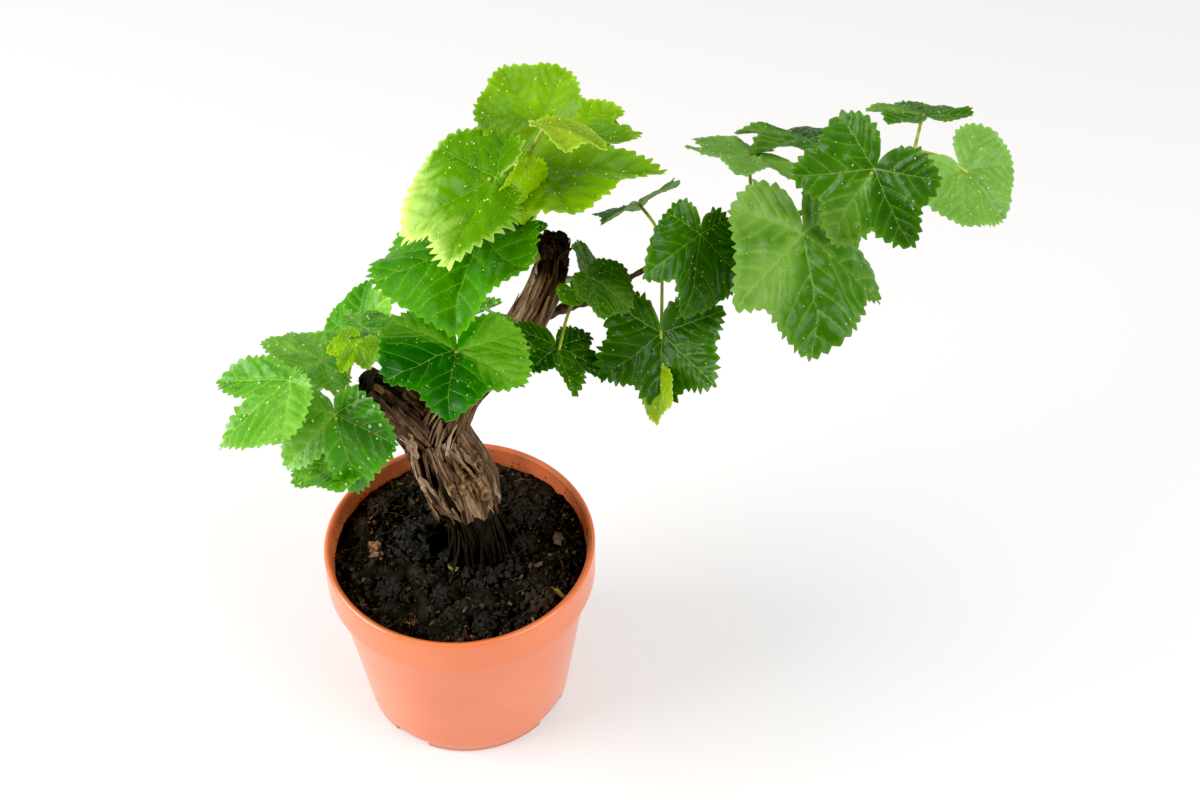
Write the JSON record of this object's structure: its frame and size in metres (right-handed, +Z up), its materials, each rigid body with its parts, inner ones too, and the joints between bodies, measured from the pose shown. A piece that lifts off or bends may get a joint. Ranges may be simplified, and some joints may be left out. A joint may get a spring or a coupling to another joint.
{
  "type": "grapevine bonsai in a plastic pot",
  "caption": "Old grapevine trained as a bonsai: a leaning forked stump with shaggy bark, lobed green leaves and a long leafy cane, in a round terracotta-coloured plastic pot of soil.",
  "frame": {"origin": "middle of the pot's flat underside, on the surface it stands on", "axes": "+Z up, +X to the right towards the long cane, -Y towards the viewer of the picture"},
  "size_m": [0.5268, 0.2494, 0.5523],
  "materials": {
    "pot_plastic": "satin moulded plastic",
    "compost": "damp potting compost",
    "bark": "shaggy peeling bark",
    "cane_bark": "smooth young cane",
    "mid_green_leaf": "slightly glossy leaf",
    "bright_green_leaf": "slightly glossy young leaf",
    "dark_green_leaf": "slightly glossy older leaf"
  },
  "bodies": {
    "root": {"pot": "pot_plastic", "soil": "compost", "trunk": "bark", "left_arm": "bark", "right_arm": "bark", "spur": "cane_bark", "left_foliage": "mid_green_leaf", "middle_foliage": "mid_green_leaf", "top_foliage": "bright_green_leaf", "spur_foliage": "dark_green_leaf", "inner_cane_foliage": "dark_green_leaf", "outer_cane_foliage": "dark_green_leaf"}
  },
  "joints": []
}
